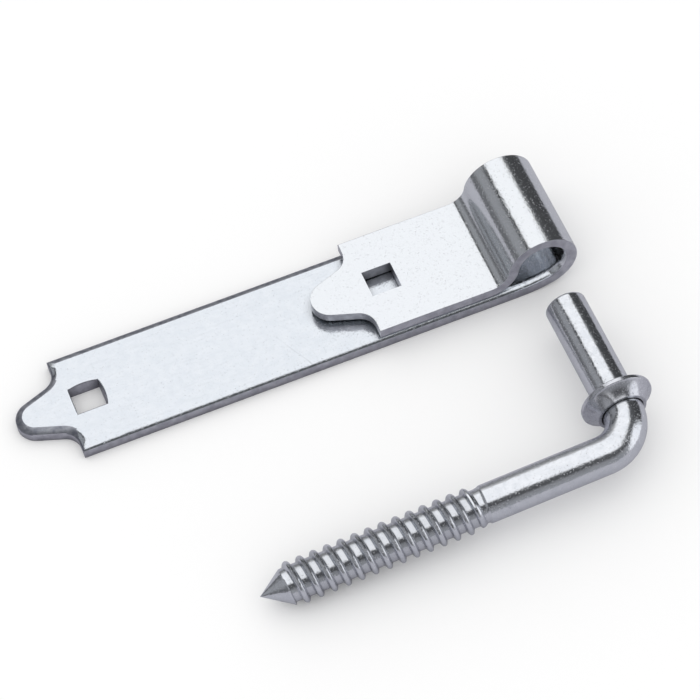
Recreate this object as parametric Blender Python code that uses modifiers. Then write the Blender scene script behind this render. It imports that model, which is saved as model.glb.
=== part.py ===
"""Screw hook and strap gate hinge, lying open on a flat surface.

The strap is one flat bar, punched and folded back on itself round a plain eye.  The screw hook is
one rod: a smooth pin that drops into the eye, a right-angle bend, a plain shank and a coarse
wood-screw thread.  A cone-shaped collar on the pin carries the eye.

Frame: the origin is on the underside of the strap, midway between its bolt holes.  +X runs along
the strap towards the eye, +Y along the pin, +Z is up.  Metres.
"""

import math

import bmesh
import bpy
from mathutils import Matrix, Vector

MM = 0.001
MERGE = 0.01 * MM           # points closer than this are one point
SHARP = math.radians(35)    # edges sharper than this keep a crease

# Strap
STRAP_WIDTH = 35.0 * MM
PLATE = 4.4 * MM            # bar thickness
LEAF_GAP = 0.3 * MM         # between the two leaves
LONG_REACH = 147.8 * MM     # eye centre to the shoulders of the long leaf
SHORT_REACH = 52.9 * MM     # eye centre to the shoulders of the short leaf
TONGUE_LENGTH = 15.3 * MM   # shoulders to the tip of the nose
NOSE_RADIUS = 6.3 * MM
NECK_RADIUS = 5.5 * MM      # concave arcs beside the tongue
FLANK_ANGLE = math.radians(20.0)
EDGE_ROLL = 1.7 * MM        # rounding that the shears leave on the inner side's edges
BOLT_HOLE = 9.4 * MM        # side of the square holes
HOLE_SETBACK = 7.4 * MM     # shoulders to hole centre, in both leaves
LEAD_IN_RADIUS = 40.0 * MM  # gentle rise of the long leaf into the eye
LEAD_IN_ANGLE = math.radians(16.0)
RETURN_RADIUS = 5.8 * MM    # outer side of the bend from the eye back to the short leaf

# Screw hook
PIN_DIAMETER = 12.7 * MM
PIN_LENGTH = 36.4 * MM      # collar face to the pin's free end
PIN_CHAMFER = 0.9 * MM
EYE_CLEARANCE = 0.45 * MM   # between pin and eye, all round
SHANK_DIAMETER = 11.6 * MM
BEND_RADIUS = 11.0 * MM     # centre line of the rod
SHANK_LENGTH = 48.5 * MM    # pin axis to the first thread
HOOK_LENGTH = 117.8 * MM    # pin axis to the point
THREAD_PITCH = 4.233 * MM
THREAD_DIAMETER = 13.5 * MM
ROOT_DIAMETER = 10.6 * MM
THREAD_CORNERS = (0.0, 0.2, 0.35, 0.6)      # shares of the pitch: root, crest, crest, root
POINT_LENGTH = 9.8 * MM
POINT_TOLERANCE = 0.13 * MM         # rows this close to the point are drawn into it
ROOT_OVERLAP = 2.0 * MM     # how far the threaded end is rooted in the shank

# Collar
COLLAR_DIAMETER = 22.0 * MM
RIM_DEPTH = 1.5 * MM
RIM_CHAMFER = 0.45 * MM
COLLAR_DEPTH = 5.2 * MM
COLLAR_FOOT = 0.9 * MM      # wall of the collar where the cone ends
COLLAR_HOLLOW = 0.25        # how far the cone is hollowed, as a share of its size
COLLAR_GAP = 0.3 * MM       # between collar and pin

# Places
PIN_STANDOFF = 16.0 * MM    # strap's near edge to the pin's free end, as the parts lie
FLOOR_GAP = 0.05 * MM       # under the thread

# Smoothness
EYE_STEPS = 40
SMALL_STEPS = 6
ROUND_SIDES = 20
COLLAR_SIDES = 36

PIN_RADIUS = PIN_DIAMETER / 2
SHANK_RADIUS = SHANK_DIAMETER / 2
THREAD_RADIUS = THREAD_DIAMETER / 2
ROOT_RADIUS = ROOT_DIAMETER / 2
COLLAR_RADIUS = COLLAR_DIAMETER / 2
BORE_RADIUS = PIN_RADIUS + EYE_CLEARANCE
EYE_RADIUS = BORE_RADIUS + PLATE
SHORT_LEAF_TOP = 2 * PLATE + LEAF_GAP
LEAD_IN_START = -(LEAD_IN_RADIUS - EYE_RADIUS) * math.sin(LEAD_IN_ANGLE)
EYE_HEIGHT = LEAD_IN_RADIUS - (LEAD_IN_RADIUS - EYE_RADIUS) * math.cos(LEAD_IN_ANGLE)
RETURN_HEIGHT = SHORT_LEAF_TOP + RETURN_RADIUS
RETURN_START = -math.sqrt((EYE_RADIUS + RETURN_RADIUS) ** 2 - (RETURN_HEIGHT - EYE_HEIGHT) ** 2)
END_HOLE_X = -(LONG_REACH - HOLE_SETBACK)
NEAR_HOLE_X = -(SHORT_REACH - HOLE_SETBACK)
EYE_X = -(END_HOLE_X + NEAR_HOLE_X) / 2
COLLAR_Y = -(STRAP_WIDTH / 2 + PIN_STANDOFF + PIN_LENGTH)
SHANK_DROP = COLLAR_DEPTH + BEND_RADIUS
LAST_CREST = HOOK_LENGTH - POINT_LENGTH


def new_collection(name):
    collection = bpy.data.collections.new(name)
    bpy.context.scene.collection.children.link(collection)
    return collection


def zinc(name, colour, roughness):
    material = bpy.data.materials.new(name)
    material.use_nodes = True
    shader = material.node_tree.nodes["Principled BSDF"]
    shader.inputs["Base Color"].default_value = (*colour, 1.0)
    shader.inputs["Metallic"].default_value = 1.0
    shader.inputs["Roughness"].default_value = roughness
    return material


def mesh_object(name, bm, collection, material=None):
    """Turn a bmesh into a closed, outward-facing object."""
    bmesh.ops.recalc_face_normals(bm, faces=bm.faces)
    mesh = bpy.data.meshes.new(name)
    bm.to_mesh(mesh)
    bm.free()
    mesh.shade_smooth()
    mesh.set_sharp_from_angle(angle=SHARP)
    if material:
        mesh.materials.append(material)
    thing = bpy.data.objects.new(name, mesh)
    collection.objects.link(thing)
    return thing


def make_cutter(thing):
    thing.hide_render = True
    thing.display_type = "WIRE"
    return thing


def combine(target, cutter, operation):
    modifier = target.modifiers.new(f"{operation.lower()} {cutter.name}", "BOOLEAN")
    modifier.operation = operation
    modifier.solver = "EXACT"
    modifier.object = cutter


# --- strap -------------------------------------------------------------------------------------


def tongue_outline(inset):
    """Half of a leaf's end as (distance past the shoulders, half width), corner to nose."""
    reach = math.pi / 2 - FLANK_ANGLE
    nose_centre = TONGUE_LENGTH - NOSE_RADIUS
    neck_level = (
        nose_centre * math.cos(reach) + NOSE_RADIUS + NECK_RADIUS * (1 - math.cos(reach))
    ) / math.sin(reach)
    points = [(-inset, STRAP_WIDTH / 2 - inset)]
    for step in range(SMALL_STEPS + 1):
        angle = reach * step / SMALL_STEPS
        radius = NECK_RADIUS + inset
        points.append((NECK_RADIUS - radius * math.cos(angle), neck_level - radius * math.sin(angle)))
    for step in range(SMALL_STEPS + 1):
        angle = reach * (1 - step / SMALL_STEPS)
        radius = NOSE_RADIUS - inset
        points.append((nose_centre + radius * math.cos(angle), radius * math.sin(angle)))
    return points


def fold_sections():
    """Sections of the bar between the leaves' ends: (point on the outer side, inward normal)."""
    sections = []

    def arc(centre, radius, start, end, steps, facing):
        for step in range(steps + 1):
            angle = start + (end - start) * step / steps
            ray = Vector((math.cos(angle), math.sin(angle)))
            sections.append((Vector(centre) + ray * radius, ray * facing))

    down = -math.pi / 2
    eye_start = down + LEAD_IN_ANGLE
    eye_end = math.atan2(RETURN_HEIGHT - EYE_HEIGHT, RETURN_START)
    arc((LEAD_IN_START, LEAD_IN_RADIUS), LEAD_IN_RADIUS, down, eye_start, 3, -1)
    sections.pop()
    arc((0, EYE_HEIGHT), EYE_RADIUS, eye_start, eye_end, EYE_STEPS, -1)
    sections.pop()
    arc((RETURN_START, RETURN_HEIGHT), RETURN_RADIUS, eye_end - math.pi, down, 2 * SMALL_STEPS, 1)
    return sections


def roll_layers():
    """Depths through the bar from its outer side, each with the inset of its outline."""
    layers = [(0.0, 0.0)]
    steps = 3
    for step in range(steps + 1):
        angle = math.pi / 2 * step / steps
        depth = PLATE - EDGE_ROLL * (1 - math.sin(angle))
        layers.append((depth, EDGE_ROLL * (1 - math.cos(angle))))
    return layers


def bar_stations(inset):
    """The bar from one nose to the other: (outer point, inward normal, half width)."""
    outline = tongue_outline(inset)
    up, down = Vector((0, 1)), Vector((0, -1))
    long_leaf = [(Vector((-LONG_REACH - u, 0)), up, v) for u, v in reversed(outline)]
    middle = [(point, inward, STRAP_WIDTH / 2 - inset) for point, inward in fold_sections()]
    short_leaf = [(Vector((-SHORT_REACH - u, SHORT_LEAF_TOP)), down, v) for u, v in outline]
    return long_leaf + middle + short_leaf


def folded_bar(collection, material):
    """One closed body: side walls between the layers, and the bar's two broad faces."""
    bm = bmesh.new()
    layers = []
    for depth, inset in roll_layers():
        rows = []
        for point, inward, half_width in bar_stations(inset):
            place = point + inward * depth
            rows.append([bm.verts.new((place.x, side * half_width, place.y)) for side in (1, -1)])
        layers.append(rows)
    count = len(layers[0])
    for lower, upper in zip(layers, layers[1:]):
        for index in range(count - 1):
            for side in (0, 1):
                near, far = index, index + 1
                bm.faces.new((lower[near][side], lower[far][side], upper[far][side], upper[near][side]))

    corner = len(tongue_outline(0)) - 1
    for rows in (layers[0], layers[-1]):
        index = 0
        while index < count - 1:
            # The step at each shoulder lies on one line across the bar, so its face takes in the
            # next or the previous station.
            span = 2 if index in (corner - 1, count - corner - 2) else 1
            chosen = rows[index:index + span + 1]
            ring = [row[0] for row in chosen] + [row[1] for row in reversed(chosen)]
            bm.faces.new(ring)
            index += span
    bmesh.ops.remove_doubles(bm, verts=bm.verts, dist=MERGE)
    for vert in bm.verts:
        vert.co.x += EYE_X
    return mesh_object("strap", bm, collection, material)


def square_cutter(name, centre_x, collection):
    bm = bmesh.new()
    bmesh.ops.create_cube(bm, size=1.0)
    depth = SHORT_LEAF_TOP + 2 * PLATE
    bmesh.ops.scale(bm, vec=(BOLT_HOLE, BOLT_HOLE, depth), verts=bm.verts)
    bmesh.ops.translate(bm, vec=(EYE_X + centre_x, 0, SHORT_LEAF_TOP / 2), verts=bm.verts)
    return make_cutter(mesh_object(name, bm, collection))


# --- screw hook --------------------------------------------------------------------------------
# Modelled with the pin's axis on +Y, the collar's face at the origin and the shank along -X.


def rod_points():
    """The rod's centre line and radius, from the pin's free end to the end of the shank."""
    bend_start = -COLLAR_DEPTH
    points = [
        (Vector((0, PIN_LENGTH, 0)), PIN_RADIUS - PIN_CHAMFER),
        (Vector((0, PIN_LENGTH - PIN_CHAMFER, 0)), PIN_RADIUS),
        (Vector((0, bend_start, 0)), PIN_RADIUS),
    ]
    centre = Vector((-BEND_RADIUS, bend_start, 0))
    steps = 2 * SMALL_STEPS
    for step in range(1, steps + 1):
        angle = math.pi / 2 * step / steps
        ray = Vector((math.cos(angle), -math.sin(angle), 0))
        radius = PIN_RADIUS + (SHANK_RADIUS - PIN_RADIUS) * step / steps
        points.append((centre + ray * BEND_RADIUS, radius))
    points.append((Vector((-SHANK_LENGTH, -SHANK_DROP, 0)), SHANK_RADIUS))
    return points


def rod(name, collection, material):
    curve = bpy.data.curves.new(name, "CURVE")
    curve.dimensions = "3D"
    curve.bevel_depth = 1.0
    curve.bevel_resolution = ROUND_SIDES // 2 - 2
    curve.use_fill_caps = True
    points = rod_points()
    spline = curve.splines.new("POLY")
    spline.points.add(len(points) - 1)
    for slot, (place, radius) in zip(spline.points, points):
        slot.co = (*place, 1.0)
        slot.radius = radius
    guide = bpy.data.objects.new(f"{name} line", curve)
    collection.objects.link(guide)
    evaluated = guide.evaluated_get(bpy.context.evaluated_depsgraph_get())
    bm = bmesh.new()
    mesh = bpy.data.meshes.new_from_object(evaluated)
    bm.from_mesh(mesh)
    bpy.data.meshes.remove(mesh)
    bpy.data.objects.remove(guide)
    bmesh.ops.remove_doubles(bm, verts=bm.verts, dist=MERGE)
    return mesh_object(name, bm, collection, material)


def thread_radius(phase, distance):
    """Radius at a corner of the thread's section, faded in at the shank and out at the point."""
    crest = phase in (1, 2)
    height = (THREAD_RADIUS - ROOT_RADIUS) if crest else 0.0
    fade_in = min(max((distance - SHANK_LENGTH) / THREAD_PITCH, 0.0), 1.0)
    cone = (HOOK_LENGTH - distance) * THREAD_RADIUS / POINT_LENGTH
    return max(min(ROOT_RADIUS + height * fade_in, cone), 0.0)


def threaded_end(collection):
    """The root, its right-hand thread and the point, as rows that follow the helix."""
    start = SHANK_LENGTH - ROOT_OVERLAP
    turns = math.ceil((HOOK_LENGTH - start) / THREAD_PITCH) + 1
    bm = bmesh.new()
    columns = []
    for side in range(ROUND_SIDES):
        angle = 2 * math.pi * side / ROUND_SIDES
        column = []
        for row in range(4 * turns + 1):
            turn, phase = divmod(row, 4)
            distance = start + THREAD_PITCH * (turn - 1 + THREAD_CORNERS[phase] + side / ROUND_SIDES)
            radius = thread_radius(phase, distance)
            if distance < start:
                distance, radius = start, ROOT_RADIUS
            if distance > HOOK_LENGTH - POINT_TOLERANCE:
                distance, radius = HOOK_LENGTH, 0.0
            place = (-distance, radius * math.sin(angle) - SHANK_DROP, radius * math.cos(angle))
            column.append(bm.verts.new(place))
        columns.append(column)
    for side in range(ROUND_SIDES):
        wraps = side == ROUND_SIDES - 1
        here, there = columns[side], columns[0 if wraps else side + 1]
        step = 4 if wraps else 0
        for row in range(4 * turns):
            if row + 1 + step < len(there):
                bm.faces.new((here[row], here[row + 1], there[row + 1 + step], there[row + step]))
    bmesh.ops.remove_doubles(bm, verts=bm.verts, dist=MERGE)
    bmesh.ops.dissolve_degenerate(bm, edges=bm.edges, dist=MERGE)
    rim = [edge for edge in bm.edges if edge.is_boundary]
    bmesh.ops.contextual_create(bm, geom=rim)
    return make_cutter(mesh_object("threaded_end", bm, collection))


def hook_placement():
    """Where the parts lie: the pin in line with the eye, the thread resting on the surface."""
    droop = math.asin((EYE_HEIGHT - THREAD_RADIUS - FLOOR_GAP) / LAST_CREST)
    return Matrix.Translation((EYE_X, COLLAR_Y, EYE_HEIGHT)) @ Matrix.Rotation(-droop, 4, "Y")


# --- collar ------------------------------------------------------------------------------------


def collar(collection, material):
    """A turned ring: flat face and thin rim towards the eye, a hollowed cone below."""
    bore = PIN_RADIUS + COLLAR_GAP
    foot = bore + COLLAR_FOOT
    profile = [
        (bore, 0),
        (COLLAR_RADIUS - RIM_CHAMFER, 0),
        (COLLAR_RADIUS, -RIM_CHAMFER),
        (COLLAR_RADIUS, -RIM_DEPTH),
    ]
    cone_depth = COLLAR_DEPTH - RIM_DEPTH
    for step in range(1, SMALL_STEPS + 1):
        share = step / SMALL_STEPS
        sag = COLLAR_HOLLOW * share * (1 - share)
        profile.append((
            COLLAR_RADIUS - (COLLAR_RADIUS - foot) * (share + sag),
            -RIM_DEPTH - cone_depth * (share - sag),
        ))
    profile.append((bore, -COLLAR_DEPTH))
    mesh = bpy.data.meshes.new("collar")
    edges = [(index, (index + 1) % len(profile)) for index in range(len(profile))]
    mesh.from_pydata([(radius, 0, height) for radius, height in profile], edges, [])
    mesh.materials.append(material)
    thing = bpy.data.objects.new("collar", mesh)
    collection.objects.link(thing)
    screw = thing.modifiers.new("turn", "SCREW")
    screw.steps = screw.render_steps = COLLAR_SIDES
    screw.use_merge_vertices = True
    screw.merge_threshold = MERGE
    screw.use_smooth_shade = True
    return thing


def build():
    for thing in list(bpy.data.objects):
        bpy.data.objects.remove(thing)
    parts = new_collection("screw_hook_and_strap_hinge")
    cutters = new_collection("cutters")

    strap = folded_bar(parts, zinc("bright zinc, rolled bar", (0.80, 0.82, 0.86), 0.30))
    for name, centre_x in (("end_hole", END_HOLE_X), ("near_hole", NEAR_HOLE_X)):
        combine(strap, square_cutter(name, centre_x, cutters), "DIFFERENCE")

    hook = rod("screw_hook", parts, zinc("bright zinc, drawn rod", (0.78, 0.79, 0.82), 0.18))
    thread = threaded_end(cutters)
    combine(hook, thread, "UNION")
    ring = collar(parts, zinc("bright zinc, turned collar", (0.70, 0.71, 0.75), 0.25))

    hinge_axis = bpy.data.objects.new("hinge_axis", None)
    parts.objects.link(hinge_axis)
    hinge_axis.matrix_world = hook_placement()
    for thing in (hook, thread, ring):
        thing.parent = hinge_axis
    ring.matrix_local = Matrix.Rotation(-math.pi / 2, 4, "X")


build()
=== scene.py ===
import math

import bmesh
import bpy
from mathutils import Matrix, Vector


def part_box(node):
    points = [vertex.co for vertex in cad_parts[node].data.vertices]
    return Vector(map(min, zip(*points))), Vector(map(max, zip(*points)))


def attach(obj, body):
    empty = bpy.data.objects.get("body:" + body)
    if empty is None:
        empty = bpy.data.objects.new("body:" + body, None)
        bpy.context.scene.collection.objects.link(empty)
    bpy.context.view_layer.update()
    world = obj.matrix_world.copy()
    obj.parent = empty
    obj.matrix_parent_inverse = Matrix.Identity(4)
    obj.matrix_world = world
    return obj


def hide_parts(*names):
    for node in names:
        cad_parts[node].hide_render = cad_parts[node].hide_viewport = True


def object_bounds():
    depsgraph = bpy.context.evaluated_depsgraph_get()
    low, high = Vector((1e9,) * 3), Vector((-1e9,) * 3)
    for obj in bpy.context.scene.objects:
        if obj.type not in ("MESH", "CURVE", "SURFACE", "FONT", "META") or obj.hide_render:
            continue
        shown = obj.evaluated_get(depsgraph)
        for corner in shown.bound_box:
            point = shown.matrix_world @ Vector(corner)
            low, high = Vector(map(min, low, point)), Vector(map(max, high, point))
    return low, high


# Screw hook and strap gate hinge in bright zinc: a bar folded round an eye, a rod bent and threaded,
# and a turned collar.  Metres; +X towards the eye, +Y along the pin, +Z up.

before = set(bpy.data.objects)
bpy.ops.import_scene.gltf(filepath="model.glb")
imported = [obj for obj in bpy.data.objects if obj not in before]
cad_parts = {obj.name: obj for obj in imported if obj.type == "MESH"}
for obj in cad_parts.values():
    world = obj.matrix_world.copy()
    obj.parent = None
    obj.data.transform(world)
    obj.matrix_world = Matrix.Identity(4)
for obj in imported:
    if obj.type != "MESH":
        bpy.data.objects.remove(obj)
cad_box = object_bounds()

MM = 0.001
JOIN = 0.01 * MM

# Folded strap
STRAP_HALF_WIDTH = 17.5 * MM
PLATE = 4.4 * MM
LEAF_GAP = 0.3 * MM
LONG_REACH = 147.8 * MM
SHORT_REACH = 52.9 * MM
TONGUE_LENGTH = 15.3 * MM
NOSE_RADIUS = 6.3 * MM
NECK_RADIUS = 5.5 * MM
FLANK_ANGLE = math.radians(20)
EDGE_ROLL = 2.7 * MM
ROLL_FLATNESS = 0.5
BOLT_HOLE = 9.4 * MM
HOLE_SETBACK = 7.4 * MM
HOLE_MARGIN = 1.2 * MM
HOLE_ROLL = 0.4 * MM
HOLE_ARCH = 0.65 * MM
SHEARED_BURR = 0.25 * MM
EYE_RADIUS = 11.2 * MM
LEAD_IN_RADIUS = 40.0 * MM
LEAD_IN_ANGLE = math.radians(16)
RETURN_RADIUS = 5.8 * MM
LEAD_IN_STEPS = 8
EYE_STEPS = 84
RETURN_STEPS = 28
NECK_STEPS = 12
NOSE_STEPS = 18

# Screw hook
PIN_RADIUS = 6.35 * MM
PIN_LENGTH = 36.4 * MM
PIN_CHAMFER = 0.9 * MM
SHANK_RADIUS = 5.8 * MM
BEND_RADIUS = 11.0 * MM
SHANK_LENGTH = 48.5 * MM
HOOK_LENGTH = 117.8 * MM
THREAD_PITCH = 4.233 * MM
THREAD_RADIUS = 6.75 * MM
ROOT_RADIUS = 5.3 * MM
POINT_LENGTH = 9.8 * MM
POINT_TOLERANCE = 0.08 * MM
ROOT_OVERLAP = 2.0 * MM
ROOT_CLEARANCE = 0.05 * MM
SHANK_END_SETBACK = 0.3 * MM
SHANK_END_TAPER = 0.7 * MM
ROD_SIDES = 72
PIN_ROWS = 6
SHANK_ROWS = 5
BEND_STEPS = 30
THREAD_STEPS = 60

# The thread's ridge, in shares of its pitch: where it is traced, its flanks and its crest
RIDGE_SHARES = (
    0, 0.03, 0.06, 0.1, 0.14, 0.18, 0.23, 0.28, 0.33, 0.38, 0.42, 0.46, 0.5, 0.54, 0.58, 0.68, 0.8, 0.9, 1.0
)
CREST_START = 0.18
CREST_END = 0.38
RIDGE_END = 0.58
CREST_DROP = 0.10
FLANK_CURVE = 1.25

# Turned collar
COLLAR_RADIUS = 11.0 * MM
RIM_DEPTH = 1.5 * MM
COLLAR_DEPTH = 5.2 * MM
COLLAR_BORE = 6.65 * MM
COLLAR_FOOT = 7.55 * MM
COLLAR_HOLLOW = 0.25
RIM_ROUND = 0.35 * MM
RIM_STEPS = 4
CONE_STEPS = 14
COLLAR_STEPS = 96

PIN_STANDOFF = 16.0 * MM
FLOOR_GAP = 0.05 * MM

SHORT_LEAF_TOP = 2 * PLATE + LEAF_GAP
EYE_X = (LONG_REACH + SHORT_REACH) / 2 - HOLE_SETBACK
EYE_HEIGHT = LEAD_IN_RADIUS - (LEAD_IN_RADIUS - EYE_RADIUS) * math.cos(LEAD_IN_ANGLE)
LEAD_IN_START = -(LEAD_IN_RADIUS - EYE_RADIUS) * math.sin(LEAD_IN_ANGLE)
RETURN_HEIGHT = SHORT_LEAF_TOP + RETURN_RADIUS
RETURN_START = -math.sqrt((EYE_RADIUS + RETURN_RADIUS) ** 2 - (RETURN_HEIGHT - EYE_HEIGHT) ** 2)
COLLAR_Y = -(STRAP_HALF_WIDTH + PIN_STANDOFF + PIN_LENGTH)
SHANK_DROP = COLLAR_DEPTH + BEND_RADIUS
LAST_CREST = HOOK_LENGTH - POINT_LENGTH


# --- hand tools ----------------------------------------------------------------------------------


def deselect_all():
    if bpy.context.object and bpy.context.object.mode == "EDIT":
        bpy.ops.object.mode_set(mode="OBJECT")
    bpy.ops.object.select_all(action="DESELECT")


def work_on(piece):
    deselect_all()
    piece.select_set(True)
    bpy.context.view_layer.objects.active = piece


def start_piece(name):
    """The primitive just added becomes the named piece, open in edit mode."""
    piece = bpy.context.object
    piece.name = piece.data.name = name
    bpy.context.tool_settings.mesh_select_mode = (True, False, False)
    bpy.ops.object.mode_set(mode="EDIT")
    bpy.ops.mesh.select_all(action="SELECT")
    return piece


def pick(piece, kind, test):
    """Select the vertices, edges or faces that pass a test of their place."""
    bm = bmesh.from_edit_mesh(piece.data)
    bpy.ops.mesh.select_all(action="DESELECT")
    bpy.context.tool_settings.mesh_select_mode = (kind == "verts", kind == "edges", kind == "faces")
    for element in [element for element in getattr(bm, kind) if test(element)]:
        element.select_set(True)
    bm.select_flush_mode()
    bmesh.update_edit_mesh(piece.data)


def middle(element):
    return sum((vert.co for vert in element.verts), Vector()) / len(element.verts)


def fold_angle(edge):
    return edge.calc_face_angle(0.0) if len(edge.link_faces) == 2 else math.pi


def finish_modifiers(piece):
    work_on(piece)
    for modifier in list(piece.modifiers):
        bpy.ops.object.modifier_apply(modifier=modifier.name)


def trace(places):
    """Draw a line by extruding one point from place to place."""
    bpy.context.tool_settings.mesh_select_mode = (True, False, False)
    bpy.ops.mesh.primitive_plane_add(size=MM, location=places[0])
    bpy.ops.mesh.merge(type="CENTER")
    for here, there in zip(places, places[1:]):
        step = tuple(there[axis] - here[axis] for axis in range(3))
        bpy.ops.mesh.extrude_region_move(TRANSFORM_OT_translate={"value": step})


def close_piece(piece, sharp=35):
    """Weld, face outwards, and shade smooth up to a crease."""
    work_on(piece)
    bpy.ops.object.mode_set(mode="EDIT")
    bpy.ops.mesh.select_all(action="SELECT")
    bpy.ops.mesh.remove_doubles(threshold=JOIN)
    bpy.ops.mesh.normals_make_consistent(inside=False)
    bpy.ops.object.mode_set(mode="OBJECT")
    bpy.ops.object.shade_smooth_by_angle(angle=math.radians(sharp))


# --- folded strap --------------------------------------------------------------------------------


def tongue_outline():
    """Half of a leaf's end as (past the shoulders, half width), from the neck to the nose."""
    reach = math.pi / 2 - FLANK_ANGLE
    nose_centre = TONGUE_LENGTH - NOSE_RADIUS
    neck_level = (
        nose_centre * math.cos(reach) + NOSE_RADIUS + NECK_RADIUS * (1 - math.cos(reach))
    ) / math.sin(reach)
    points = []
    for step in range(NECK_STEPS + 1):
        angle = reach * step / NECK_STEPS
        points.append((NECK_RADIUS * (1 - math.cos(angle)), neck_level - NECK_RADIUS * math.sin(angle)))
    for step in range(NOSE_STEPS + 1):
        angle = reach * (1 - step / NOSE_STEPS)
        points.append((nose_centre + NOSE_RADIUS * math.cos(angle), NOSE_RADIUS * math.sin(angle)))
    return points


def trace_leaf(piece, reach, end_x, height):
    """One flat leaf, traced round and filled, from where the bend stops to its nose."""
    shoulder = EYE_X - reach
    side = [(end_x, STRAP_HALF_WIDTH, height), (shoulder, STRAP_HALF_WIDTH, height)]
    side += [(shoulder - past, half, height) for past, half in tongue_outline()]
    other = [(x, -y, z) for x, y, z in reversed(side[:-1])]
    trace(side + other)
    pick(piece, "verts", lambda vert: not vert.link_faces)
    bpy.ops.mesh.edge_face_add()
    punch_hole(piece, shoulder + HOLE_SETBACK, height)


def punch_hole(piece, hole_x, height):
    def at_height(face):
        return abs(middle(face).z - height) < JOIN

    reach = BOLT_HOLE / 2 + HOLE_MARGIN
    for side in (-1, 1):
        pick(piece, "faces", at_height)
        bpy.ops.mesh.bisect(plane_co=(hole_x + side * reach, 0, 0), plane_no=(1, 0, 0))
    for side in (-1, 1):
        pick(piece, "faces", lambda face: at_height(face) and abs(middle(face).x - hole_x) < reach / 2)
        bpy.ops.mesh.bisect(plane_co=(0, side * reach, 0), plane_no=(0, 1, 0))
    hole = Vector((hole_x, 0))
    pick(piece, "faces", lambda face: at_height(face) and (middle(face).xy - hole).length < MM)
    bpy.ops.mesh.inset(thickness=HOLE_MARGIN, depth=0)
    bpy.ops.mesh.delete(type="FACE")
    pick(piece, "edges", lambda edge: abs(middle(edge).z - height) < JOIN and abs(middle(edge).y) > reach
         and all(abs(vert.co.x - hole_x + reach) < JOIN for vert in edge.verts))
    bpy.ops.mesh.dissolve_edges(use_verts=True)


def wind(steps, angle, centre_x, centre_z):
    """Carry the bar's open edge round a bend; a positive angle climbs towards the eye's top."""
    bpy.ops.mesh.spin(steps=steps, angle=angle, center=(centre_x, 0, centre_z), axis=(0, 1, 0))


def folded_strap():
    deselect_all()
    bpy.ops.mesh.primitive_plane_add(size=MM, location=(0, 0, 0))
    piece = start_piece("folded_strap")
    bpy.ops.mesh.delete(type="VERT")
    bend_x = EYE_X + LEAD_IN_START
    trace_leaf(piece, LONG_REACH, bend_x, 0)

    eye_start = LEAD_IN_ANGLE - math.pi / 2
    eye_end = math.atan2(RETURN_HEIGHT - EYE_HEIGHT, RETURN_START)
    pick(piece, "edges", lambda edge: abs(middle(edge).x - bend_x) < JOIN and len(edge.link_faces) == 1)
    wind(LEAD_IN_STEPS, LEAD_IN_ANGLE, bend_x, LEAD_IN_RADIUS)
    wind(EYE_STEPS, eye_end - eye_start, EYE_X, EYE_HEIGHT)
    wind(RETURN_STEPS, -(eye_end - math.pi / 2), EYE_X + RETURN_START, RETURN_HEIGHT)
    trace_leaf(piece, SHORT_REACH, EYE_X + RETURN_START, SHORT_LEAF_TOP)

    bpy.ops.mesh.select_all(action="SELECT")
    bpy.ops.mesh.remove_doubles(threshold=JOIN)
    bpy.ops.mesh.normals_make_consistent(inside=False)
    bm = bmesh.from_edit_mesh(piece.data)
    lowest = min(bm.faces, key=lambda face: middle(face).z)
    if lowest.normal.z > 0:
        bpy.ops.mesh.flip_normals()
    bpy.ops.object.mode_set(mode="OBJECT")

    piece.vertex_groups.new(name="inner side")
    plate = piece.modifiers.new("plate", "SOLIDIFY")
    plate.thickness = PLATE
    plate.offset = -1
    plate.use_even_offset = True
    plate.shell_vertex_group = "inner side"
    finish_modifiers(piece)
    roll_edges(piece)
    close_piece(piece, sharp=40)
    flats = piece.modifiers.new("flat faces", "WEIGHTED_NORMAL")
    flats.keep_sharp = True
    finish_modifiers(piece)
    return piece


def bar_depth(place):
    """How deep a point lies below the bar's outer side, and the inward direction there."""
    x, z = place.x - EYE_X, place.z
    if x < LEAD_IN_START and z < PLATE + LEAF_GAP / 2:
        return z, Vector((0, 0, 1))
    if x < RETURN_START:
        return SHORT_LEAF_TOP - z, Vector((0, 0, -1))
    eye_end = math.atan2(RETURN_HEIGHT - EYE_HEIGHT, RETURN_START)
    down = -math.pi / 2
    bends = (
        (LEAD_IN_START, LEAD_IN_RADIUS, LEAD_IN_RADIUS, -1, down, down + LEAD_IN_ANGLE),
        (RETURN_START, RETURN_HEIGHT, RETURN_RADIUS, 1, down, eye_end - math.pi),
        (0, EYE_HEIGHT, EYE_RADIUS, -1, -math.pi, math.pi),
    )
    for centre_x, centre_z, radius, facing, first, last in bends:
        spoke = Vector((x - centre_x, 0, z - centre_z))
        depth = (spoke.length - radius) * facing
        turned = math.atan2(spoke.z, spoke.x)
        if first - 0.001 < turned < last + 0.001 and -JOIN < depth < PLATE + JOIN:
            break
    return depth, spoke.normalized() * facing


def flatten_roll(piece):
    """The rolled edge is wider than it is deep."""
    bm = bmesh.from_edit_mesh(piece.data)
    for vert in bm.verts:
        depth, inward = bar_depth(vert.co)
        below = PLATE - depth
        if JOIN < below < EDGE_ROLL + JOIN:
            vert.co += inward * below * (1 - ROLL_FLATNESS)
    bmesh.update_edit_mesh(piece.data)


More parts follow.
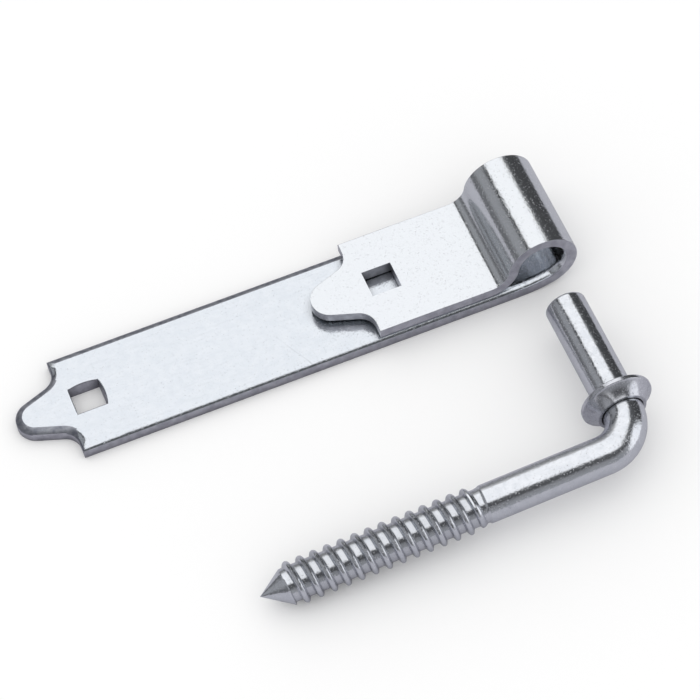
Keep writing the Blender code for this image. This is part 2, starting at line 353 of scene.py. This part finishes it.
def arch_hole(piece, hole_x):
    """The punch drags the end hole's rim outwards on the inner side."""
    half = BOLT_HOLE / 2

    def on_rim(vert):
        place = vert.co - Vector((hole_x, 0, PLATE))
        return abs(place.z) < JOIN and abs(max(abs(place.x), abs(place.y)) - half) < JOIN

    pick(piece, "edges", lambda edge: all(on_rim(vert) for vert in edge.verts))
    bpy.ops.mesh.subdivide(number_cuts=9)
    bm = bmesh.from_edit_mesh(piece.data)
    for vert in bm.verts:
        if on_rim(vert):
            x, y = vert.co.x - hole_x, vert.co.y
            swell_x = HOLE_ARCH * (1 - (y / half) ** 2) if x > half - JOIN else 0.0
            swell_y = HOLE_ARCH * (1 - (x / half) ** 2) if y > half - JOIN else 0.0
            vert.co += Vector((swell_x, swell_y, 0))
    bmesh.update_edit_mesh(piece.data)


def roll_edges(piece):
    """The shears round the inner side's edges and leave a fine burr on the outer side's."""
    bpy.ops.object.mode_set(mode="EDIT")
    steep = math.radians(60)
    hole_places = [EYE_X - reach + HOLE_SETBACK for reach in (LONG_REACH, SHORT_REACH)]

    def is_inner(edge):
        layer = bmesh.from_edit_mesh(piece.data).verts.layers.deform.active
        return all(0 in vert[layer] for vert in edge.verts)

    def near_hole(edge):
        place, reach = middle(edge), BOLT_HOLE / 2 + HOLE_ARCH + JOIN
        return any(abs(place.x - hole_x) < reach and abs(place.y) < reach for hole_x in hole_places)

    def along_face(edge):
        here, there = (vert.co for vert in edge.verts)
        return abs(here.x - there.x) + abs(here.y - there.y) > JOIN

    arch_hole(piece, hole_places[0])
    bevel = {"affect": "EDGES", "clamp_overlap": False}
    pick(piece, "edges", lambda edge: fold_angle(edge) > steep and not is_inner(edge) and not near_hole(edge)
         and along_face(edge) and abs(bar_depth(middle(edge))[0]) < 0.1 * MM)
    bpy.ops.mesh.bevel(offset=SHEARED_BURR, segments=2, profile=0.5, **bevel)
    pick(piece, "edges", lambda edge: fold_angle(edge) > math.radians(45) and near_hole(edge)
         and abs(bar_depth(middle(edge))[0] - PLATE) < 0.1 * MM)
    bpy.ops.mesh.bevel(offset=HOLE_ROLL, segments=4, profile=0.5, **bevel)
    pick(piece, "edges", lambda edge: fold_angle(edge) > steep and not near_hole(edge)
         and abs(bar_depth(middle(edge))[0] - PLATE) < 0.1 * MM)
    bpy.ops.mesh.bevel(offset=EDGE_ROLL, segments=7, profile=0.4, **bevel)
    flatten_roll(piece)
    bpy.ops.object.mode_set(mode="OBJECT")


# --- screw hook ----------------------------------------------------------------------------------
# Made with the pin on +Y, the collar's face at the origin and the shank along -X, then laid down.


def lay_down(piece):
    """Put the pin in line with the eye, with the thread resting on the surface."""
    droop = math.asin((EYE_HEIGHT - THREAD_RADIUS - FLOOR_GAP) / LAST_CREST)
    work_on(piece)
    tilt = Matrix.Rotation(-droop, 4, "Y")
    piece.matrix_world = Matrix.Translation((EYE_X, COLLAR_Y, EYE_HEIGHT)) @ tilt @ piece.matrix_world
    bpy.ops.object.transform_apply(location=True, rotation=True, scale=True)


def draw_on(step, growth=1.0, centre=(0, 0, 0)):
    """Extrude the open end of the rod by a step, and let it swell or shrink."""
    bpy.ops.mesh.extrude_region_move(TRANSFORM_OT_translate={"value": step})
    if growth != 1.0:
        bpy.ops.transform.resize(value=(growth, growth, growth), center_override=centre)


def bent_rod():
    deselect_all()
    bpy.ops.mesh.primitive_circle_add(
        vertices=ROD_SIDES, radius=PIN_RADIUS, fill_type="NGON",
        location=(0, PIN_LENGTH, 0), rotation=(math.pi / 2, 0, 0),
    )
    bpy.ops.object.transform_apply(location=True, rotation=True, scale=True)
    piece = start_piece("screw_hook_rod")
    bpy.ops.mesh.select_all(action="SELECT")
    for _ in range(PIN_ROWS):
        draw_on((0, -(PIN_LENGTH + COLLAR_DEPTH) / PIN_ROWS, 0))
    pivot = Vector((-BEND_RADIUS, -COLLAR_DEPTH, 0))
    taper = (SHANK_RADIUS / PIN_RADIUS) ** (1 / BEND_STEPS)
    for step in range(1, BEND_STEPS + 1):
        before, after = (math.pi / 2 * (step - share) / BEND_STEPS for share in (1, 0))
        bpy.ops.mesh.extrude_region_move(TRANSFORM_OT_translate={"value": (0, 0, 0)})
        turn_section(piece, pivot, before, after, taper)
    run = SHANK_LENGTH - BEND_RADIUS
    for _ in range(SHANK_ROWS):
        draw_on((-(run - SHANK_END_SETBACK) / SHANK_ROWS, 0, 0))
    end = SHANK_END_TAPER - SHANK_END_SETBACK
    draw_on((-SHANK_END_TAPER, 0, 0), growth=(ROOT_RADIUS - ROOT_CLEARANCE) / SHANK_RADIUS,
            centre=(-SHANK_LENGTH - end, -SHANK_DROP, 0))
    pick(piece, "edges", lambda edge: all(abs(vert.co.y - PIN_LENGTH) < JOIN for vert in edge.verts))
    bpy.ops.mesh.bevel(offset=PIN_CHAMFER, segments=3, profile=0.5, affect="EDGES")
    close_piece(piece)
    return piece


def turn_section(piece, pivot, before, after, taper):
    """Turn the rod's end section a little further round the bend, and draw it down."""
    turn = Matrix.Rotation(-(after - before), 4, "Z")
    bm = bmesh.from_edit_mesh(piece.data)
    section = [vert for vert in bm.verts if vert.select]
    centre = pivot + Vector((math.cos(after), -math.sin(after), 0)) * BEND_RADIUS
    for vert in section:
        place = pivot + turn @ (vert.co - pivot)
        vert.co = centre + (place - centre) * taper
    bmesh.update_edit_mesh(piece.data)


def ridge_height(phase):
    """Height of the thread's ridge over its root, by the share of the pitch: two flanks and a crest."""
    if phase <= 0 or phase >= RIDGE_END:
        return 0.0
    if CREST_START <= phase < CREST_END:
        crest_half = (CREST_END - CREST_START) / 2
        crown = 1 - CREST_DROP * abs(phase - CREST_START - crest_half) / crest_half
    else:
        climb = phase / CREST_START if phase < CREST_START else (RIDGE_END - phase) / (RIDGE_END - CREST_END)
        crown = (1 - CREST_DROP) * math.sin(climb * math.pi / 2) ** FLANK_CURVE
    return (THREAD_RADIUS - ROOT_RADIUS) * crown


def rolled_thread():
    """One pitch of the profile, wound along the shank, faded in at one end and pointed at the other."""
    start = SHANK_LENGTH - ROOT_OVERLAP
    turns = math.ceil((HOOK_LENGTH - start) / THREAD_PITCH) + 1
    deselect_all()
    bpy.ops.mesh.primitive_plane_add(size=MM, location=(0, 0, 0))
    piece = start_piece("rolled_thread")
    bpy.ops.mesh.delete(type="VERT")
    first = start + (turns - 1) * THREAD_PITCH
    trace([(-(first + share * THREAD_PITCH), 0, ROOT_RADIUS + ridge_height(share % 1.0))
           for share in RIDGE_SHARES])
    bpy.ops.object.mode_set(mode="OBJECT")
    winding = piece.modifiers.new("winding", "SCREW")
    winding.axis = "X"
    winding.angle = 2 * math.pi
    winding.screw_offset = THREAD_PITCH
    winding.iterations = turns + 1
    winding.steps = winding.render_steps = THREAD_STEPS
    winding.use_merge_vertices = True
    winding.merge_threshold = JOIN
    finish_modifiers(piece)

    bpy.ops.object.mode_set(mode="EDIT")
    bm = bmesh.from_edit_mesh(piece.data)
    for vert in bm.verts:
        along = -vert.co.x
        spoke = Vector((0, vert.co.y, vert.co.z))
        fade_in = min(max((along - SHANK_LENGTH) / THREAD_PITCH, 0.0), 1.0)
        cone = (HOOK_LENGTH - along) * THREAD_RADIUS / POINT_LENGTH
        radius = max(min(ROOT_RADIUS + (spoke.length - ROOT_RADIUS) * fade_in, cone), 0.0)
        if along < start:
            along, radius = start, ROOT_RADIUS
        if radius < POINT_TOLERANCE:
            along, radius = HOOK_LENGTH, 0.0
        vert.co = spoke.normalized() * radius + Vector((-along, -SHANK_DROP, 0))
    bmesh.update_edit_mesh(piece.data)
    bpy.ops.mesh.select_all(action="SELECT")
    bpy.ops.mesh.remove_doubles(threshold=JOIN)
    bpy.ops.mesh.dissolve_degenerate(threshold=JOIN)
    pick(piece, "edges", lambda edge: edge.is_boundary)
    bpy.ops.mesh.edge_face_add()
    close_piece(piece)
    return piece


def screw_hook():
    piece = bent_rod()
    thread = rolled_thread()
    joining = piece.modifiers.new("thread", "BOOLEAN")
    joining.operation = "UNION"
    joining.solver = "EXACT"
    joining.object = thread
    finish_modifiers(piece)
    bpy.data.objects.remove(thread)
    close_piece(piece, sharp=42)
    lay_down(piece)
    return piece


# --- turned collar -------------------------------------------------------------------------------


def turned_collar():
    """Flat face and thin rim towards the eye, a hollowed cone below, turned in one piece."""
    inner_rim = COLLAR_RADIUS - RIM_ROUND
    turns = [math.pi / 2 * step / RIM_STEPS for step in range(RIM_STEPS + 1)]
    profile = [(COLLAR_BORE, 0.0)]
    for angle in turns:
        profile.append((inner_rim + RIM_ROUND * math.sin(angle), -RIM_ROUND + RIM_ROUND * math.cos(angle)))
    for angle in turns:
        drop = -RIM_DEPTH + RIM_ROUND - RIM_ROUND * math.sin(angle)
        profile.append((inner_rim + RIM_ROUND * math.cos(angle), drop))
    cone_depth = COLLAR_DEPTH - RIM_DEPTH
    for step in range(1, CONE_STEPS + 1):
        share = step / CONE_STEPS
        sag = COLLAR_HOLLOW * share * (1 - share)
        drop = -RIM_DEPTH - cone_depth * (share - sag)
        profile.append((inner_rim - (inner_rim - COLLAR_FOOT) * (share + sag), drop))
    profile.append((COLLAR_BORE, -COLLAR_DEPTH))
    deselect_all()
    bpy.ops.mesh.primitive_plane_add(size=MM, location=(0, 0, 0))
    piece = start_piece("turned_collar")
    bpy.ops.mesh.delete(type="VERT")
    trace([(radius, depth, 0) for radius, depth in profile + profile[:1]])
    bpy.ops.mesh.select_all(action="SELECT")
    bpy.ops.mesh.spin(steps=COLLAR_STEPS, angle=2 * math.pi, center=(0, 0, 0), axis=(0, 1, 0))
    close_piece(piece, sharp=32)
    lay_down(piece)
    return piece


# --- zinc finishes -------------------------------------------------------------------------------


def add_node(tree, kind, links=(), **settings):
    """A node, its settings, and its inputs as (input, value or socket) pairs."""
    made = tree.nodes.new(kind)
    for name, value in settings.items():
        setattr(made, name, value)
    for name, value in links:
        if isinstance(value, bpy.types.NodeSocket):
            tree.links.new(value, made.inputs[name])
        else:
            made.inputs[name].default_value = value
    return made


def noise(tree, place, size, detail=3.0, roughness=0.55, stretch=None):
    """Noise with features of a given size, drawn out along an axis if stretched."""
    if stretch:
        place = add_node(tree, "ShaderNodeMapping", [("Vector", place), ("Scale", stretch)]).outputs["Vector"]
    made = add_node(tree, "ShaderNodeTexNoise", [
        ("Vector", place), ("Scale", 1 / size), ("Detail", detail), ("Roughness", roughness),
    ])
    return made.outputs["Fac"]


def spread(tree, value, low, high, out_low, out_high):
    made = add_node(tree, "ShaderNodeMapRange", [
        ("Value", value), ("From Min", low), ("From Max", high), ("To Min", out_low), ("To Max", out_high),
    ])
    return made.outputs["Result"]


def mix_colours(tree, share, first, second):
    made = add_node(tree, "ShaderNodeMix", data_type="RGBA")
    for slot, value in ((0, share), (6, first), (7, second)):
        if isinstance(value, bpy.types.NodeSocket):
            tree.links.new(value, made.inputs[slot])
        else:
            made.inputs[slot].default_value = value
    return made.outputs[2]


def combine(tree, operation, first, second):
    return add_node(tree, "ShaderNodeMath", [(0, first), (1, second)], operation=operation).outputs[0]


def bump(tree, height, depth, normal=None, invert=False):
    links = [("Strength", 1.0), ("Distance", depth), ("Height", height)]
    if normal:
        links.append(("Normal", normal))
    return add_node(tree, "ShaderNodeBump", links, invert=invert).outputs["Normal"]


def zinc(name, light, dark, roughness, grain, mottle, grain_size=0.3 * MM, mottle_size=2.6 * MM,
         lines=None, raised_painted_light=None, pit_depth=0.022 * MM):
    """Bright zinc plate: cloudy tint, fine speckle in the gloss, drawing or rolling lines, painted shade in
    hollows, and, if asked, painted light as a lighter tint higher up.
    """
    material = bpy.data.materials.new(name)
    material.use_nodes = True
    tree = material.node_tree
    shader = tree.nodes["Principled BSDF"]
    place = add_node(tree, "ShaderNodeTexCoord").outputs["Object"]
    cloud = noise(tree, place, mottle_size, detail=4.0)
    grit = noise(tree, place, 0.55 * MM, detail=3.0, roughness=0.65)
    pits = spread(tree, grit, 0.60, 0.74, 0, 1)
    turned = add_node(tree, "ShaderNodeMapping", [("Vector", place), ("Rotation", (0, 0, math.radians(63)))])
    scratch = noise(tree, turned.outputs["Vector"], 1.0, detail=1.0, stretch=(14, 520, 520))
    scratch = spread(tree, scratch, 0.76, 0.80, 0, 1)
    speck = noise(tree, place, grain_size, detail=2.0, roughness=0.6)
    drawn = noise(tree, place, 1.0, detail=3.0, stretch=lines or (90, 1400, 1400))
    colour = mix_colours(tree, spread(tree, cloud, 0.35, 0.65, 0, 1), (*light, 1), (*dark, 1))

    def darken(share, depth):
        return mix_colours(tree, share, colour, (*(depth * tone for tone in dark), 1))

    colour = darken(spread(tree, drawn, 0.56, 0.75, 0, 0.16), 0.75)
    colour = darken(spread(tree, pits, 0, 1, 0, 0.06), 0.5)
    colour = darken(spread(tree, scratch, 0, 1, 0, 0.25), 0.45)
    # Painted light: the tint turns lighter from 4.8 mm to 8.5 mm up, so the upper leaf and the eye look more
    # brightly lit.
    if raised_painted_light:
        level = add_node(tree, "ShaderNodeSeparateXYZ", [("Vector", place)]).outputs["Z"]
        colour = mix_colours(tree, spread(tree, level, 4.8 * MM, 8.5 * MM, 0, 1), colour, (*raised_painted_light, 1))
    # Painted shade: the colour is darkened where ambient occlusion finds hollows, creases and gaps between
    # parts.
    hollow = add_node(tree, "ShaderNodeAmbientOcclusion", [("Distance", 3.5 * MM)], samples=8).outputs["AO"]
    colour = darken(spread(tree, hollow, 0.95, 0.35, 0, 0.75), 0.35)
    tree.links.new(colour, shader.inputs["Base Color"])
    shader.inputs["Metallic"].default_value = 1.0
    gloss = spread(tree, speck, 0.3, 0.7, roughness - 0.03, roughness + 0.06)
    frosted = combine(tree, "ADD", gloss, spread(tree, grit, 0.54, 0.68, 0, 0.17))
    tree.links.new(frosted, shader.inputs["Roughness"])
    fine = bump(tree, speck, grain)
    rippled = bump(tree, cloud, mottle, fine)
    scored = bump(tree, drawn, 0.3 * grain, rippled)
    tree.links.new(bump(tree, pits, pit_depth, scored, invert=True), shader.inputs["Normal"])
    return material


def dress_strap(piece):
    """Faces bright, with painted light higher up; sheared walls greyer; and the rolled edges of the long
    leaf's end and back rougher and painted dark as painted shade.
    """
    # The face is painted lighter higher up, as painted light on the upper leaf and the eye.
    face = zinc("bright zinc on rolled bar", (0.83, 0.86, 0.90), (0.79, 0.825, 0.87), 0.12,
                grain=0.034 * MM, mottle=0.008 * MM, grain_size=0.7 * MM, raised_painted_light=(0.88, 0.90, 0.925))
    wall = zinc("bright zinc on sheared wall", (0.74, 0.74, 0.79), (0.54, 0.54, 0.59), 0.30,
                grain=0.012 * MM, mottle=0.03 * MM, lines=(1100, 1100, 120))
    # Painted shade: darker zinc for the rolled edges turned away from the light; it is also rougher.
    shaded_roll = zinc("duller zinc with painted shade on rolled edge", (0.44, 0.45, 0.49), (0.24, 0.25, 0.29), 0.34,
                grain=0.010 * MM, mottle=0.03 * MM, mottle_size=1.8 * MM)
    for finish in (face, wall, shaded_roll):
        piece.data.materials.append(finish)
    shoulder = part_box("strap")[0][0] + TONGUE_LENGTH
    for polygon in piece.data.polygons:
        normal, centre = polygon.normal, polygon.center
        flat_part = centre.x < EYE_X + RETURN_START
        rolled = 0.10 < normal.z < 0.985 and abs(centre.z - PLATE + 0.5 * EDGE_ROLL) < 0.52 * EDGE_ROLL
        if abs(normal.y) > 0.75 or (flat_part and abs(normal.z) < 0.3):
            polygon.material_index = 1
        # Rolled edges at the long leaf's end, and those facing back along +Y, get the painted shade.
        elif flat_part and rolled and (centre.x < shoulder + 0.4 * MM or normal.y > 0.15):
            polygon.material_index = 2


# --- surface, light and camera -------------------------------------------------------------------


def pale_surface():
    deselect_all()
    bpy.ops.mesh.primitive_plane_add(size=4.0, location=(0, 0, cad_box[0][2] - 0.02 * MM))
    floor = bpy.context.object
    floor.name = "pale_surface"
    material = bpy.data.materials.new("pale paper")
    material.use_nodes = True
    tree = material.node_tree
    shader = tree.nodes["Principled BSDF"]
    shader.inputs["Roughness"].default_value = 0.9
    shader.inputs["Specular IOR Level"].default_value = 0.0
    # Painted shade: the surface is pale to the camera and to diffuse light, but a darker grey in the metal's
    # reflections.
    mirrored = add_node(tree, "ShaderNodeLightPath").outputs["Is Glossy Ray"]
    tree.links.new(mix_colours(tree, mirrored, (0.98, 0.98, 0.98, 1), (0.45, 0.45, 0.49, 1)),
                   shader.inputs["Base Color"])
    floor.data.materials.append(material)


def studio_light():
    """An even white sky for the surface, and a soft box between grey and dark walls for the metal."""
    world = bpy.data.worlds.new("studio")
    bpy.context.scene.world = world
    world.use_nodes = True
    tree = world.node_tree
    background = tree.nodes["Background"]
    direction = add_node(tree, "ShaderNodeTexCoord").outputs["Generated"]
    split = add_node(tree, "ShaderNodeSeparateXYZ", [("Vector", direction)])
    across, along, height = (split.outputs[axis] for axis in "XYZ")

    def tones(value, stops, tint=(0.92, 0.945, 1.0)):
        made = add_node(tree, "ShaderNodeValToRGB", [("Fac", spread(tree, value, -1, 1, 0, 1))])
        while len(made.color_ramp.elements) < len(stops):
            made.color_ramp.elements.new(0.5)
        for element, (level, tone) in zip(made.color_ramp.elements, stops):
            element.position = (level + 1) / 2
            element.color = (*(tone * share for share in tint), 1)
        return made.outputs["Color"]

    soft_box = tones(height, [(-1, 0.15), (0.0, 0.20), (0.28, 0.26), (0.46, 0.50), (0.60, 1.02)],
                     tint=(0.975, 0.985, 1.0))
    left_wall = tones(across, [(-1, 0.34), (-0.6, 0.29), (-0.51, 0.25), (-0.48, 0.015), (-0.40, 0.015),
                               (-0.36, 0.9)])
    left_foot = tones(height, [(-1, 0.15), (0.1, 0.13), (0.3, 0.16), (0.4, 0.3)])
    right_wall = tones(height, [(-1, 0.1), (0.0, 0.05), (0.5, 0.05), (0.8, 0.10)])
    front_wall = tones(height, [(-1, 0.30), (0.15, 0.30), (0.45, 0.24), (0.62, 0.07), (0.8, 0.09)])
    low_left = combine(tree, "MULTIPLY", spread(tree, height, 0.40, 0.22, 0, 1),
                       spread(tree, across, -0.50, -0.62, 0, 1))
    left_wall = mix_colours(tree, low_left, left_wall, left_foot)
    colour = mix_colours(tree, spread(tree, across, -0.36, -0.40, 0, 1), soft_box, left_wall)
    colour = mix_colours(tree, spread(tree, across, 0.38, 0.50, 0, 1), colour, right_wall)
    front = combine(tree, "MULTIPLY", spread(tree, along, -0.38, -0.52, 0, 1),
                    spread(tree, across, -0.35, -0.20, 0, 1))
    colour = mix_colours(tree, front, colour, front_wall)
    card = combine(tree, "MULTIPLY", spread(tree, across, 0.66, 0.74, 0, 1),
                   spread(tree, along, 0.05, -0.10, 0, 1))
    colour = mix_colours(tree, card, colour, (0.95, 0.965, 1.0, 1))
    mirrored = add_node(tree, "ShaderNodeLightPath").outputs["Is Glossy Ray"]
    colour = mix_colours(tree, mirrored, (1.03, 1.03, 1.03, 1), colour)
    tree.links.new(colour, background.inputs["Color"])


def camera():
    deselect_all()
    data = bpy.data.cameras.new("camera")
    data.sensor_width = 36.0
    data.lens = 162.3
    data.clip_start, data.clip_end = 0.01, 20.0
    thing = bpy.data.objects.new("camera", data)
    bpy.context.scene.collection.objects.link(thing)
    right = Vector((0.92708, -0.36802, -0.07133))
    up = Vector((0.34305, 0.75615, 0.55727))
    turn = Matrix((right, up, right.cross(up))).transposed().to_4x4()
    thing.matrix_world = Matrix.Translation((-0.11241, -0.52736, 0.78479)) @ turn
    bpy.context.scene.camera = thing


strap = folded_strap()
dress_strap(strap)
hook = screw_hook()
hook.data.materials.append(zinc(
    "bright zinc on drawn rod", (0.88, 0.895, 0.93), (0.80, 0.82, 0.86), 0.12,
    grain=0.040 * MM, mottle=0.006 * MM, grain_size=0.75 * MM, lines=(160, 1600, 1600)))
collar = turned_collar()
collar.data.materials.append(zinc(
    "bright zinc on turned collar", (0.82, 0.83, 0.87), (0.66, 0.67, 0.72), 0.18,
    grain=0.006 * MM, mottle=0.006 * MM, lines=(1400, 160, 1400)))

for piece, node, body, finish in (
    (strap, "strap", "strap", "strap_zinc"),
    (hook, "screw_hook", "screw_hook", "hook_zinc"),
    (collar, "collar", "collar", "collar_zinc"),
):
    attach(piece, body)
    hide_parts(node)

pale_surface()
studio_light()
camera()
bpy.context.scene.view_settings.view_transform = "Standard"
